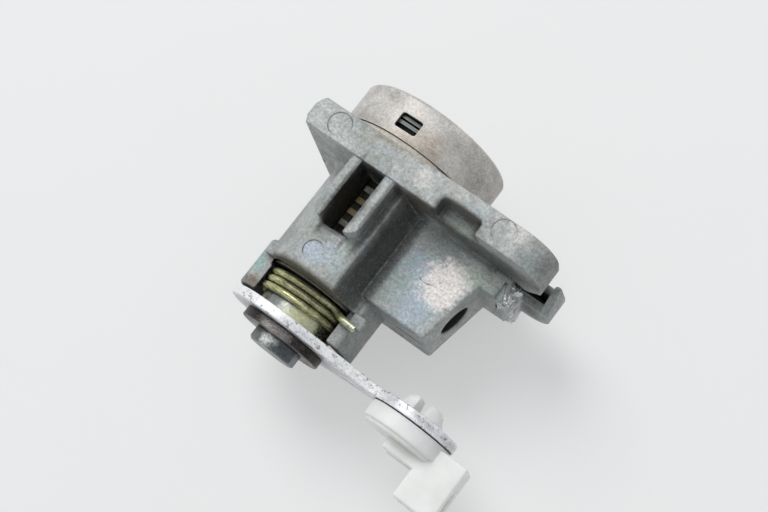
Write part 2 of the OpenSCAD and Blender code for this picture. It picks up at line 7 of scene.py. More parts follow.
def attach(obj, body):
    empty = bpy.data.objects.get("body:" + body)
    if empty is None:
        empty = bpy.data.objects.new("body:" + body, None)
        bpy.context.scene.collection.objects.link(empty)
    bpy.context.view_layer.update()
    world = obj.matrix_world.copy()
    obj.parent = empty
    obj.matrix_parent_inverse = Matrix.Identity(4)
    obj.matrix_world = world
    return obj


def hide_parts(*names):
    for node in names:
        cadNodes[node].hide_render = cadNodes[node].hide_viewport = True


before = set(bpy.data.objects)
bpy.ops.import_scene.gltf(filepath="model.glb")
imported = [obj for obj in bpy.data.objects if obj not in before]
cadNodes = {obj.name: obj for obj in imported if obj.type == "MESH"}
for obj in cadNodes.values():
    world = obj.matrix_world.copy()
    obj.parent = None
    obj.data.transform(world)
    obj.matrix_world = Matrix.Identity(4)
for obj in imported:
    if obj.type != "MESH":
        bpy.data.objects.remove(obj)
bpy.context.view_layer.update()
mm = 0.001


# small helpers: selection, colours, nodes

def clearSelection():
    if bpy.context.object and bpy.context.object.mode != "OBJECT":
        bpy.ops.object.mode_set(mode="OBJECT")
    bpy.ops.object.select_all(action="DESELECT")


def pickOnly(piece):
    clearSelection()
    piece.hide_viewport = False
    piece.select_set(True)
    bpy.context.view_layer.objects.active = piece


def photoColour(shade):  # 0 to 255 as read off a picture, to the shader's linear values
    linear = []
    for value in shade:
        value = value / 255
        linear.append(value / 12.92 if value <= 0.04045 else ((value + 0.055) / 1.055) ** 2.4)
    return (linear[0], linear[1], linear[2], 1)


def startFinish(name):
    finish = bpy.data.materials.new(name)
    finish.use_nodes = True
    tree = finish.node_tree
    tree.nodes.clear()
    output = tree.nodes.new("ShaderNodeOutputMaterial")
    surface = tree.nodes.new("ShaderNodeBsdfPrincipled")
    output.location = (400, 0)
    surface.location = (100, 0)
    tree.links.new(surface.outputs["BSDF"], output.inputs["Surface"])
    coords = tree.nodes.new("ShaderNodeTexCoord")
    place = tree.nodes.new("ShaderNodeMapping")
    coords.location = (-1500, 0)
    place.location = (-1300, 0)
    place.inputs["Scale"].default_value = (1000, 1000, 1000)  # one unit of pattern is a millimetre
    tree.links.new(coords.outputs["Object"], place.inputs["Vector"])
    return finish, tree, surface, place.outputs["Vector"]


def stretchPattern(tree, vector, scale, turn=0):
    place = tree.nodes.new("ShaderNodeMapping")
    place.inputs["Scale"].default_value = scale
    place.inputs["Rotation"].default_value = (0, 0, math.radians(turn))
    tree.links.new(vector, place.inputs["Vector"])
    return place.outputs["Vector"]


def noisePattern(tree, vector, scale, detail=4, roughness=0.6, warp=0):
    noise = tree.nodes.new("ShaderNodeTexNoise")
    noise.inputs["Scale"].default_value = scale
    noise.inputs["Detail"].default_value = detail
    noise.inputs["Roughness"].default_value = roughness
    noise.inputs["Distortion"].default_value = warp
    tree.links.new(vector, noise.inputs["Vector"])
    return noise.outputs["Fac"]


# smooth step from start to end while the source goes from low to high
def fadeBetween(tree, source, low, high, start=0, end=1):
    fade = tree.nodes.new("ShaderNodeMapRange")
    fade.interpolation_type = "SMOOTHSTEP"
    fade.inputs["From Min"].default_value = low
    fade.inputs["From Max"].default_value = high
    fade.inputs["To Min"].default_value = start
    fade.inputs["To Max"].default_value = end
    tree.links.new(source, fade.inputs["Value"])
    return fade.outputs["Result"]


def calculate(tree, operation, first, second):
    sums = tree.nodes.new("ShaderNodeMath")
    sums.operation = operation
    for number, value in enumerate((first, second)):
        if isinstance(value, (int, float)):
            sums.inputs[number].default_value = value
        else:
            tree.links.new(value, sums.inputs[number])
    return sums.outputs["Value"]


def multiply(tree, first, second):
    return calculate(tree, "MULTIPLY", first, second)


def vectorMath(tree, operation, first, second=None):
    step = tree.nodes.new("ShaderNodeVectorMath")
    step.operation = operation
    tree.links.new(first, step.inputs[0])
    if isinstance(second, (tuple, list)):
        step.inputs[1].default_value = second
    elif second is not None:
        tree.links.new(second, step.inputs[1])
    return step


# under and over are sockets, colours read off a picture in three numbers, or linear ones in four
def mixColour(tree, factor, under, over, mode="MIX"):
    mixer = tree.nodes.new("ShaderNodeMix")
    mixer.data_type = "RGBA"
    mixer.blend_type = mode
    for socket, value in ((mixer.inputs[0], factor), (mixer.inputs[6], under), (mixer.inputs[7], over)):
        if isinstance(value, tuple) and len(value) == 3:
            socket.default_value = photoColour(value)
        elif isinstance(value, (int, float, tuple)):
            socket.default_value = value
        else:
            tree.links.new(value, socket)
    return mixer.outputs[2]


def colourRamp(tree, source, stops):
    ramp = tree.nodes.new("ShaderNodeValToRGB")
    while len(ramp.color_ramp.elements) < len(stops):
        ramp.color_ramp.elements.new(0.5)
    for element, (position, colour) in zip(ramp.color_ramp.elements, stops):
        element.position = position
        element.color = photoColour(colour)
    tree.links.new(source, ramp.inputs["Fac"])
    return ramp.outputs["Color"]


# 1 inside a patch, 0 outside; reach is along x, y and z, edge and tear say how soft and ragged its rim is
def stainSpot(tree, vector, centre, reach, ragged, edge=0.3, tear=2.4):
    offset = vectorMath(tree, "SUBTRACT", vector, centre).outputs["Vector"]
    scaled = vectorMath(tree, "MULTIPLY", offset, [1 / side for side in reach]).outputs["Vector"]
    distance = vectorMath(tree, "LENGTH", scaled).outputs["Value"]
    wave = multiply(tree, calculate(tree, "SUBTRACT", ragged, 0.5), tear)
    return fadeBetween(tree, calculate(tree, "ADD", distance, wave), 1 - edge, 1 + edge, 1, 0)


def ringLine(tree, vector, centre, radius, width):  # 1 on a thin circle in a level face
    offset = vectorMath(tree, "SUBTRACT", vector, centre).outputs["Vector"]
    distance = vectorMath(tree, "LENGTH", offset).outputs["Value"]
    fromLine = calculate(tree, "ABSOLUTE", calculate(tree, "SUBTRACT", distance, radius), 0)
    return fadeBetween(tree, fromLine, 0.4 * width, width, 1, 0)


def boreMask(tree, vector, bore):  # 1 inside a drilled hole that runs in from its mouth
    offset = vectorMath(tree, "SUBTRACT", vector, bore["mouth"]).outputs["Vector"]
    parts = tree.nodes.new("ShaderNodeSeparateXYZ")
    tree.links.new(stretchPattern(tree, offset, (1, 1, 1), bore["slant"]), parts.inputs["Vector"])
    across = multiply(tree, parts.outputs["Y"], parts.outputs["Y"])
    upward = multiply(tree, parts.outputs["Z"], parts.outputs["Z"])
    area = bore["radius"] ** 2
    near = fadeBetween(tree, calculate(tree, "ADD", across, upward), 0.98 * area, 1.03 * area, 1, 0)
    return multiply(tree, near, fadeBetween(tree, parts.outputs["X"], -0.5, -0.1, 1, 0))


# an ambient-occlusion mask for painted shade, with some dirt, in corners, slots and between parts
def hollowShadeMask(tree, reach, low, high):  # 1 deep in corners and slots, 0 in the open
    shade = tree.nodes.new("ShaderNodeAmbientOcclusion")
    shade.samples = 6
    shade.inputs["Distance"].default_value = reach * mm
    return fadeBetween(tree, shade.outputs["AO"], low, high, 1, 0)


# also carries painted edge highlights, where rounded edges catch the lamp
def wearAndGlintMask(tree, reach, low, high):  # 1 along outside edges, where handling has rubbed the skin off
    rounded = tree.nodes.new("ShaderNodeBevel")
    rounded.samples = 4
    rounded.inputs["Radius"].default_value = reach * mm
    flat = tree.nodes.new("ShaderNodeNewGeometry")
    match = vectorMath(tree, "DOT_PRODUCT", rounded.outputs["Normal"], flat.outputs["Normal"])
    return fadeBetween(tree, match.outputs["Value"], low, high, 1, 0)


# corner is the radius in mm that the light sees on edges
def addBump(tree, surface, height, strength, depth, corner=0):
    bump = tree.nodes.new("ShaderNodeBump")
    bump.inputs["Strength"].default_value = strength
    bump.inputs["Distance"].default_value = depth * mm
    tree.links.new(height, bump.inputs["Height"])
    if corner:
        soft = tree.nodes.new("ShaderNodeBevel")
        soft.samples = 4
        soft.inputs["Radius"].default_value = corner * mm
        tree.links.new(soft.outputs["Normal"], bump.inputs["Normal"])
    tree.links.new(bump.outputs["Normal"], surface.inputs["Normal"])


# helpers for shapes: clean copies of the solids with broken edges

meshValues = {
    "mergeDistance": 0.002,  # mm
    "flatAngle": 0.5,
    "clearance": 1.05,  # room that a rounding needs, in its own widths
    "sameRun": 0.6,  # an edge that turns off less than this belongs to the same run of edges
    "fineShare": 0.35,  # where the full rounding has no room, this much of it
    "fineSegments": 2,
    "smoothAngle": 40,
    "levelWeight": 90,
}


def copyOfNode(nodeName, pieceName):  # the CAD form as one clean closed mesh
    pickOnly(cadNodes[nodeName])
    bpy.ops.object.duplicate()
    piece = bpy.context.object
    piece.name = pieceName
    piece.data.name = pieceName
    piece.parent = None
    for key in list(piece.keys()):
        del piece[key]
    piece.data.materials.clear()
    bpy.ops.mesh.customdata_custom_splitnormals_clear()
    bpy.ops.object.mode_set(mode="EDIT")
    bpy.ops.mesh.select_all(action="SELECT")
    bpy.ops.mesh.remove_doubles(threshold=meshValues["mergeDistance"] * mm)
    bpy.ops.mesh.dissolve_limited(angle_limit=math.radians(meshValues["flatAngle"]))
    bpy.ops.object.mode_set(mode="OBJECT")
    return piece


def hasRoom(edge, width, chosen):  # whether a rounding this wide stays clear of all that lies beside the edge
    start = edge.verts[0].co
    length = edge.calc_length()
    along = (edge.verts[1].co - start) / length
    needed = meshValues["clearance"] * width
    for face in edge.link_faces:
        for corner in face.verts:
            offset = corner.co - start
            place = offset.dot(along)
            beside = corner not in edge.verts and 0 < place < length
            if beside and (offset - along * place).length < needed:
                return False
        for other in face.edges:
            if other == edge or not set(other.verts) & set(edge.verts):
                continue
            step = other.verts[1].co - other.verts[0].co
            across = (step - along * step.dot(along)).length
            sameRun = other in chosen and across < meshValues["sameRun"] * step.length
            if not sameRun and across < needed:
                return False
    return True


def liesWithin(point, box):
    return all(low < value < high for low, value, high in zip(box["from"], point, box["to"]))


def roundEdges(piece, width, segments, angle, leaveOut):
    bpy.ops.mesh.select_mode(type="EDGE")
    bpy.ops.mesh.select_all(action="DESELECT")
    shape = bmesh.from_edit_mesh(piece.data)
    chosen = set()
    for edge in shape.edges:
        if len(edge.link_faces) != 2 or not edge.is_convex or edge.calc_face_angle() < math.radians(angle):
            continue
        middle = (edge.verts[0].co + edge.verts[1].co) / 2 / mm
        if leaveOut and liesWithin(middle, leaveOut):
            continue
        chosen.add(edge)
    tight = chosen
    while tight:
        tight = {edge for edge in chosen if not hasRoom(edge, width * mm, chosen)}
        chosen -= tight
    for edge in chosen:
        edge.select_set(True)
    bmesh.update_edit_mesh(piece.data)
    if chosen:
        bpy.ops.mesh.bevel(offset_type="OFFSET", offset=width * mm, segments=segments, affect="EDGES",
                           clamp_overlap=False)


def keepInside(piece, low, high):  # flattens corners that a rounding pushed past the outer faces
    bpy.ops.mesh.select_mode(type="VERT")
    for axis in range(3):
        flat = [0 if axis == other else 1 for other in range(3)]
        for side, outward in ((low[axis], -1), (high[axis], 1)):
            bpy.ops.mesh.select_all(action="DESELECT")
            shape = bmesh.from_edit_mesh(piece.data)
            outside = [corner for corner in shape.verts if (corner.co[axis] - side) * outward > 0]
            for corner in outside:
                corner.select_set(True)
            bmesh.update_edit_mesh(piece.data)
            if outside:
                bpy.ops.transform.resize(value=flat, center_override=[side, side, side])


def breakEdges(piece, size):  # full rounding where there is room, then a finer one
    pickOnly(piece)
    corners = [corner.co.copy() for corner in piece.data.vertices]
    low = [min(corner[axis] for corner in corners) for axis in range(3)]
    high = [max(corner[axis] for corner in corners) for axis in range(3)]
    leaveOut = size.get("leaveOut")
    fineWidth = meshValues["fineShare"] * size["width"]
    bpy.ops.object.mode_set(mode="EDIT")
    roundEdges(piece, size["width"], size["segments"], size["angle"], leaveOut)
    roundEdges(piece, fineWidth, meshValues["fineSegments"], size["angle"], leaveOut)
    keepInside(piece, low, high)
    bpy.ops.object.mode_set(mode="OBJECT")
    bpy.ops.object.shade_smooth_by_angle(angle=math.radians(meshValues["smoothAngle"]))
    level = piece.modifiers.new("levelFaces", "WEIGHTED_NORMAL")
    level.keep_sharp = True
    level.weight = meshValues["levelWeight"]
    bpy.ops.object.modifier_apply(modifier="levelFaces")


def roundedCopy(nodeName, pieceName, size):
    piece = copyOfNode(nodeName, pieceName)
    breakEdges(piece, size)
    return piece


def paint(piece, finish):
    piece.data.materials.clear()
    piece.data.materials.append(finish)


def dress(piece, body, slotName, *replaced):
    clearSelection()
    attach(piece, body)
    if replaced:
        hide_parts(*replaced)


def pickFaces(piece, wanted):  # in edit mode: selects the faces whose centre and normal pass the test
    bpy.ops.mesh.select_mode(type="FACE")
    bpy.ops.mesh.select_all(action="DESELECT")
    shape = bmesh.from_edit_mesh(piece.data)
    for face in shape.faces:
        face.select_set(bool(wanted(face.calc_center_median() / mm, face.normal)))
    bmesh.update_edit_mesh(piece.data)


# camera, floor and light

studio = {
    "cameraPlace": (65.49, -50.00, 207.45),
    "right": (0.7892, 0.6021, -0.1212),
    "up": (-0.5492, 0.7801, 0.2997),
    "back": (0.2750, -0.1700, 0.9463),
    "lens": 62.49,
    "floorHeight": -15.02,
    "floorColour": (238, 238, 238),
    "floorPatch": (0.7, 0.7, 0.7, 1),
    "floorGlow": 0.5,
    "skyColour": (0.94, 0.97, 1, 1),
    "skyStrength": 0.5,
    "roomStrength": 0.85,
    "lampWatts": 6.0,
    "lampPlace": (-470, 330, 820),
    "lampSize": 600,
}

cameraData = bpy.data.cameras.new("photoCamera")
cameraData.lens = studio["lens"]
cameraData.sensor_width = 36
cameraData.clip_start = 0.01
cameraData.clip_end = 20
photoCamera = bpy.data.objects.new("photoCamera", cameraData)
bpy.context.scene.collection.objects.link(photoCamera)
turned = Matrix((studio["right"], studio["up"], studio["back"])).transposed().to_4x4()
photoCamera.matrix_world = Matrix.Translation(Vector(studio["cameraPlace"]) * mm) @ turned
bpy.context.scene.camera = photoCamera


def seenRays(tree):  # 1 for what the camera, a gloss or a clear material sees
    path = tree.nodes.new("ShaderNodeLightPath")
    seen = calculate(tree, "MAXIMUM", path.outputs["Is Camera Ray"], path.outputs["Is Glossy Ray"])
    return calculate(tree, "MAXIMUM", seen, path.outputs["Is Transmission Ray"])


clearSelection()
bpy.ops.mesh.primitive_plane_add(size=6, location=(0, 0, studio["floorHeight"] * mm))
floor = bpy.context.object
floor.name = "floor"
floorFinish, tree, surface, vector = startFinish("paleFloor")
patches = fadeBetween(tree, noisePattern(tree, vector, 0.05, 3, 0.5), 0.3, 0.7, 0, 0.05)
floorTint = mixColour(tree, patches, studio["floorColour"], studio["floorPatch"])
tree.links.new(floorTint, surface.inputs["Base Color"])
surface.inputs["Roughness"].default_value = 0.85
paleGlow = tree.nodes.new("ShaderNodeEmission")
paleGlow.inputs["Color"].default_value = photoColour(studio["floorColour"])
softFloor = tree.nodes.new("ShaderNodeMixShader")
tree.links.new(multiply(tree, seenRays(tree), studio["floorGlow"]), softFloor.inputs["Fac"])
tree.links.new(surface.outputs["BSDF"], softFloor.inputs[1])
tree.links.new(paleGlow.outputs["Emission"], softFloor.inputs[2])
tree.links.new(softFloor.outputs["Shader"], tree.nodes["Material Output"].inputs["Surface"])
paint(floor, floorFinish)

world = bpy.data.worlds.new("studioWorld")
bpy.context.scene.world = world
world.use_nodes = True
tree = world.node_tree
sky = tree.nodes["Background"]
sky.inputs["Color"].default_value = studio["skyColour"]
strength = fadeBetween(tree, seenRays(tree), 0, 1, studio["skyStrength"], studio["roomStrength"])
tree.links.new(strength, sky.inputs["Strength"])

bpy.ops.object.light_add(type="AREA", location=Vector(studio["lampPlace"]) * mm)
lamp = bpy.context.object
lamp.name = "softLamp"
lamp.data.shape = "DISK"
lamp.data.size = studio["lampSize"] * mm
lamp.data.energy = studio["lampWatts"]
lamp.rotation_euler = Vector(studio["lampPlace"]).to_track_quat("Z", "Y").to_euler()
bpy.context.scene.view_settings.view_transform = "Standard"
print("stage: camera, floor and lamp")


# housing: zinc casting with its oxide colours, bare metal and dirt where the real one has them, with painted
# shade in hollows and on faces turned from the lamp, painted glints and painted edge highlights

castingValues = {
    "width": 0.42,
    "segments": 3,
    "angle": 55,
    "leaveOut": {"from": (25.6, -10.0, -5.6), "to": (29.4, -4.6, 6.6)},
    "grain": {
        "broad": 0.16,
        "patches": 0.3,
        "dust": 0.35,
        "torn": 0.6,
        "rainbow": 0.7,
        "middle": 0.9,
        "fine": 2.0,
        "grit": 4.2,
    },
    "metal": 0.2,
    "colours": {
        "light": (184, 186, 183),
        "dark": (146, 149, 144),
        # painted shade with dirt, for corners and slots
        "hollowShadeAndDirt": (50, 47, 40),
        "wornAndGlint": (196, 198, 194),
        "dust": (148, 134, 110),
        # white specks: painted glints of the grain
        "glintSpeck": (236, 236, 234),
        # dark pits and ejector rings, and painted shade at the lobe's end
        "pitAndShade": (70, 70, 64),
        "bare": (232, 226, 222),
        "rust": (160, 122, 90),
        "teal": (142, 178, 172),
        # the next four are painted shade for the slot, the valley, the notch, the hole and faces turned from
        # the lamp; the brown ones also carry dirt and oil, the black one a seam
        "shadeGrey": (48, 50, 46),
        "shadeAndSeamBlack": (26, 26, 23),
        "brownDirtAndShade": (78, 68, 58),
        "oilAndShade": (84, 79, 62),
        "bluish": (174, 186, 198),
        "crystal": (206, 208, 208),
        "green": (154, 166, 152),
        # a dust colour made paler as painted light for the shaded gap at the cap's step
        "dusty": (188, 182, 170),
    },
    "patina": (
        (0.28, (148, 168, 158)),
        (0.42, (152, 178, 176)),
        (0.52, (158, 170, 186)),
        (0.62, (176, 168, 178)),
        (0.76, (184, 182, 158)),
    ),
    # centre and reach in mm, what shows there, how strongly
    "spots": (
        ((14.6, -14.5, 6.5), (5.6, 6.5, 1.5), "patina", 0.75),
        ((14.4, -14.2, 6.5), (1.5, 3.2, 1.2), "bluish", 0.6),
        ((16.6, -17.6, 6.5), (2.4, 3.2, 1.2), "bluish", 0.55),
        ((11.4, -17.0, 6.5), (2.6, 3.6, 1.2), "green", 0.4),
        ((17.8, -12.2, 6.5), (3.5, 4.2, 1.2), "bare", 0.97),
        ((22.2, -8.6, 6.5), (4.0, 1.6, 1.2), "green", 0.5),
        ((2.6, -20.0, 13.1), (2.6, 2.0, 1.2), "bluish", 0.55),
        ((4.0, -18.6, 13.1), (1.4, 2.6, 1.2), "green", 0.4),
        ((-0.65, -20.7, 13.0), (1.7, 1.7, 0.6), "bluish", 0.75),
        ((-9.1, -26.2, 5.5), (1.0, 1.4, 1.2), "teal", 0.65),
        ((-8.2, -28.9, 5.5), (0.6, 1.0, 1.2), "rust", 0.35),
        ((-9.0, -29.6, 4.6), (2.4, 0.9, 1.6), "brownDirtAndShade", 0.55),
        ((16.2, -4.6, 12.0), (2.6, 1.2, 0.8), "green", 0.6),
        ((7.4, -2.4, 16.7), (1.6, 1.4, 0.8), "bare", 0.35),
        ((24.8, -1.0, 16.7), (2.0, 1.6, 0.8), "bare", 0.35),
        ((2.0, 0.2, 16.2), (9.0, 0.9, 1.0), "dust", 0.6),
        ((27.2, -7.4, 0.8), (2.0, 2.6, 6.0), "crystal", 0.9),
    ),
    # the same for painted shade with a soft border: in the slot, the valley beside the barrel, the notch, at
    # the lobe's end and on faces turned from the lamp, partly with dirt, and a dark seam
    "shadowsAndDirt": (
        ((7.3, -15.0, 8.8), (2.2, 15.0, 3.9), "shadeGrey", 0.9),
        ((6.4, -15.0, 11.4), (1.2, 15.0, 2.2), "shadeGrey", 0.55),
        ((8.6, -15.0, 6.5), (1.2, 12.0, 0.9), "shadeGrey", 0.55),
        ((4.6, -10.5, 13.6), (0.9, 8.0, 3.0), "shadeGrey", 0.7),
        ((-2.3, -10.4, 12.4), (0.6, 7.2, 5.8), "shadeAndSeamBlack", 0.97),
        ((2.3, -10.4, 11.6), (0.6, 7.2, 5.8), "shadeAndSeamBlack", 0.97),
        ((0.0, -16.4, 11.0), (2.6, 0.6, 2.6), "shadeAndSeamBlack", 0.9),
        ((0.0, -5.6, 13.0), (2.5, 0.9, 3.2), "shadeAndSeamBlack", 0.9),
        ((9.4, -5.4, 13.0), (6.0, 0.9, 3.2), "brownDirtAndShade", 0.85),
        ((11.9, -4.0, 14.4), (1.0, 2.0, 2.6), "shadeAndSeamBlack", 0.85),
        ((18.8, -3.9, 14.0), (1.3, 2.0, 2.6), "brownDirtAndShade", 0.95),
        ((15.4, -2.6, 14.2), (4.4, 0.6, 2.3), "brownDirtAndShade", 0.75),
        ((1.0, -24.2, 10.6), (8.6, 0.9, 3.4), "oilAndShade", 0.9),
        ((-6.0, -24.6, 7.0), (3.0, 1.0, 3.0), "brownDirtAndShade", 0.7),
        ((20.8, -5.5, 10.0), (9.5, 0.9, 3.6), "shadeGrey", 0.75),
        ((29.6, -4.0, -1.0), (2.6, 3.0, 4.0), "shadeAndSeamBlack", 0.75),
        ((30.6, -2.6, 10.6), (2.4, 4.0, 4.4), "pitAndShade", 0.4),
        ((16.6, -21.2, 0.8), (3.0, 1.5, 0.3), "shadeAndSeamBlack", 0.95),
    ),
    "ringWidth": 0.16,  # ejector pin marks: centre and radius
    "rings": (
        ((-8.8, -2.45, 16.7), 2.0),
        ((22.6, -2.2, 16.7), 2.0),
        ((-0.65, -20.7, 13.1), 1.7),
        ((15.0, -11.4, 6.5), 2.3),
    ),
    # paler dust on the step between cap and flange, painted light against the gap's shade; it also keeps the
    # painted corner shade off the step
    "litDustyStep": {"centre": (0, 0.5, 13.6), "reach": (11.0, 1.3, 2.6), "strength": 0.85},
    "bore": {"mouth": (21.41, -14.9, 0.2), "slant": 10.9, "radius": 3.0, "strength": 0.95},
}


def castingFinish(name, look):
    finish, tree, surface, vector = startFinish(name)
    grain = look["grain"]
    shades = dict(look["colours"])
    broad = noisePattern(tree, vector, grain["broad"], 4, 0.6, 0.4)
    middle = noisePattern(tree, vector, grain["middle"], 6, 0.75)
    fine = noisePattern(tree, vector, grain["fine"], 6, 0.78)
    grit = noisePattern(tree, vector, grain["grit"], 3, 0.7)
    ragged = noisePattern(tree, vector, grain["torn"], 6, 0.7)
    colour = colourRamp(tree, broad, ((0.36, shades["dark"]), (0.62, shades["light"])))
    rainbow = noisePattern(tree, vector, grain["rainbow"], 6, 0.75, 1.0)
    shades["patina"] = colourRamp(tree, rainbow, look["patina"])
    tinted = fadeBetween(tree, noisePattern(tree, vector, grain["patches"], 5, 0.65), 0.45, 0.7, 0.05, 0.45)
    colour = mixColour(tree, tinted, colour, shades["patina"])
    colour = mixColour(tree, fadeBetween(tree, middle, 0.5, 0.66, 0, 0.5), colour, shades["dark"])
    dustClouds = fadeBetween(tree, noisePattern(tree, vector, grain["dust"], 5, 0.7, 0.6), 0.5, 0.68)
    dusty = multiply(tree, dustClouds, fadeBetween(tree, fine, 0.4, 0.62))
    colour = mixColour(tree, multiply(tree, dusty, 0.5), colour, shades["dust"])
    for centre, reach, kind, strength in look["spots"]:
        mask = stainSpot(tree, vector, centre, reach, ragged)
        colour = mixColour(tree, multiply(tree, mask, strength), colour, shades[kind])
    # painted shade with a soft border, partly with dirt, and a dark seam
    for centre, reach, kind, strength in look["shadowsAndDirt"]:
        mask = stainSpot(tree, vector, centre, reach, ragged, 0.45, 0.8)
        colour = mixColour(tree, multiply(tree, mask, strength), colour, shades[kind])
    partOfRing = fadeBetween(tree, noisePattern(tree, vector, grain["patches"], 3, 0.6), 0.48, 0.6, 0.04, 0.6)
    for centre, radius in look["rings"]:
        mask = ringLine(tree, vector, centre, radius, look["ringWidth"])
        colour = mixColour(tree, multiply(tree, mask, partOfRing), colour, shades["pitAndShade"])
    # dust with painted light on the cap's step
    step = look["litDustyStep"]
    litDustMask = stainSpot(tree, vector, step["centre"], step["reach"], ragged, 0.3, 0.4)
    colour = mixColour(tree, multiply(tree, litDustMask, step["strength"]), colour, shades["dusty"])
    # fine grain over everything with white specks as painted glints, then rubbed edges that also carry
    # painted edge highlights, painted shade with dirt in dark corners, and painted shade in the hole
    shading = fadeBetween(tree, fine, 0.34, 0.66, 0.7, 1.24)
    colour = mixColour(tree, 1.0, colour, shading, "MULTIPLY")
    # white specks as painted glints
    colour = mixColour(tree, fadeBetween(tree, grit, 0.62, 0.72, 0, 0.65), colour, shades["glintSpeck"])
    colour = mixColour(tree, fadeBetween(tree, grit, 0.36, 0.28, 0, 0.6), colour, shades["pitAndShade"])
    # rubbed edges, also painted edge highlights
    rubbedAndGlint = multiply(tree, wearAndGlintMask(tree, 0.5, 0.88, 0.99), fadeBetween(tree, middle, 0.4, 0.6, 0.1, 0.6))
    colour = mixColour(tree, rubbedAndGlint, colour, shades["wornAndGlint"])
    # painted shade with dirt in corners, kept off the cap's step
    crevice = multiply(tree, hollowShadeMask(tree, 3.0, 0.12, 0.62), fadeBetween(tree, litDustMask, 0, 1, 0.85, 0))
    colour = mixColour(tree, crevice, colour, shades["hollowShadeAndDirt"])
    # painted shade down the drilled hole
    holeShade = multiply(tree, boreMask(tree, vector, look["bore"]), look["bore"]["strength"])
    colour = mixColour(tree, holeShade, colour, shades["shadeAndSeamBlack"])
    tree.links.new(colour, surface.inputs["Base Color"])
    surface.inputs["Metallic"].default_value = look["metal"]
    tree.links.new(fadeBetween(tree, middle, 0.3, 0.75, 0.46, 0.7), surface.inputs["Roughness"])
    addBump(tree, surface, calculate(tree, "ADD", multiply(tree, fine, 0.7), middle), 0.7, 0.16, 0.35)
    return finish


housingBody = roundedCopy("housing", "housingBody", castingValues)
paint(housingBody, castingFinish("castZinc", castingValues))
dress(housingBody, "housing", "zinc", "housing")
print("casting dressed")


# one finish for every other metal: broad tone, fine grain, stains that include painted highlights,
# reflections and shade, worn edges that also carry painted edge highlights, flakes, and painted shade with
# dirt in corners

metalGrain = {"broad": 0.35, "fine": 3.2, "torn": 1.1}


def metalFinish(name, look):
    finish, tree, surface, vector = startFinish(name)
    broad = noisePattern(tree, vector, metalGrain["broad"] * look["grain"], 5, 0.65, 0.3)
    fine = noisePattern(tree, vector, metalGrain["fine"] * look["grain"], 5, 0.75)
    torn = noisePattern(tree, vector, metalGrain["torn"], 6, 0.8)
    colour = colourRamp(tree, broad, ((0.35, look["dark"]), (0.62, look["light"])))
    faint, full = look.get("mottle", (0.84, 1.1))
    colour = mixColour(tree, 1.0, colour, fadeBetween(tree, fine, 0.3, 0.7, faint, full), "MULTIPLY")
    freckleFrom, freckleTo = look.get("freckles", (0.42, 0.56))
    freckles = torn if "freckles" in look else fine
    # stains, some of them painted highlights, reflections and shade
    for centre, reach, shade, strength in look.get("stainsAndPaintedLight", ()):
        mask = stainSpot(tree, vector, centre, reach, torn, 0.4)
        spread = fadeBetween(tree, freckles, freckleFrom, freckleTo, 0.3 * strength, strength)
        colour = mixColour(tree, multiply(tree, mask, spread), colour, shade)
    # worn edges, also painted edge highlights
    colour = mixColour(tree, wearAndGlintMask(tree, look.get("reach", 0.25), 0.9, 0.995), colour, look["wornAndGlint"])
    if "streaks" in look:
        fibres = noisePattern(tree, stretchPattern(tree, vector, (0.5, 5.0, 0.5)), 1.0, 5, 0.75)
        colour = mixColour(tree, fadeBetween(tree, fibres, 0.5, 0.6, 0, 0.85), colour, look["streaks"])
    if "flake" in look:
        start = look["flakeFrom"]
        colour = mixColour(tree, fadeBetween(tree, torn, start, start + 0.05, 0, 0.8), colour, look["flake"])
    # painted shade with dirt in corners
    colour = mixColour(tree, hollowShadeMask(tree, look.get("crevice", 1.6), 0.15, 0.58), colour, look["hollowShadeAndDirt"])
    tree.links.new(colour, surface.inputs["Base Color"])
    surface.inputs["Metallic"].default_value = look["metal"]
    smooth, rough = look["gloss"]
    tree.links.new(fadeBetween(tree, broad, 0.35, 0.65, smooth, rough), surface.inputs["Roughness"])
    addBump(tree, surface, calculate(tree, "ADD", broad, fine), look["bump"], 0.1)
    return finish


# broken arm: its crystalline end

stubValues = {
    "centre": (26.9, -7.35, 0.2),
    "size": (2.7, 3.9, 10.6),
    "corner": 0.9,
    "cuts": 2,
    "roughness": 0.38,
    "seed": 11,
    "light": (214, 216, 216),
    "dark": (150, 152, 152),
    "hollowShadeAndDirt": (50, 50, 46),
    "wornAndGlint": (240, 240, 240),
    "flake": (92, 90, 84),
    "flakeFrom": 0.6,
    "metal": 0.5,
    "gloss": (0.2, 0.4),
    "grain": 2.4,
    "bump": 0.5,
}


def tearStub(size):
    clearSelection()
    bpy.ops.mesh.primitive_cube_add(size=1, location=[value * mm for value in size["centre"]])
    stub = bpy.context.object
    stub.name = "tornArmEnd"
    stub.scale = [value * mm for value in size["size"]]
    bpy.ops.object.transform_apply(location=True, rotation=True, scale=True)
    bpy.ops.object.mode_set(mode="EDIT")
    bpy.ops.mesh.select_all(action="SELECT")
    bpy.ops.mesh.bevel(offset=size["corner"] * mm, segments=2, affect="EDGES")
    bpy.ops.mesh.select_all(action="SELECT")
    bpy.ops.mesh.subdivide(number_cuts=size["cuts"])
    bpy.ops.mesh.quads_convert_to_tris(quad_method="BEAUTY")
    bpy.ops.transform.vertex_random(offset=size["roughness"] * mm, seed=size["seed"])
    bpy.ops.mesh.normals_make_consistent(inside=False)
    bpy.ops.object.mode_set(mode="OBJECT")
    bpy.ops.object.shade_flat()
    return stub


tornArmEnd = tearStub(stubValues)
paint(tornArmEnd, metalFinish("tornZinc", stubValues))
dress(tornArmEnd, "housing", "zinc")


# pressed face cap with its stamped window

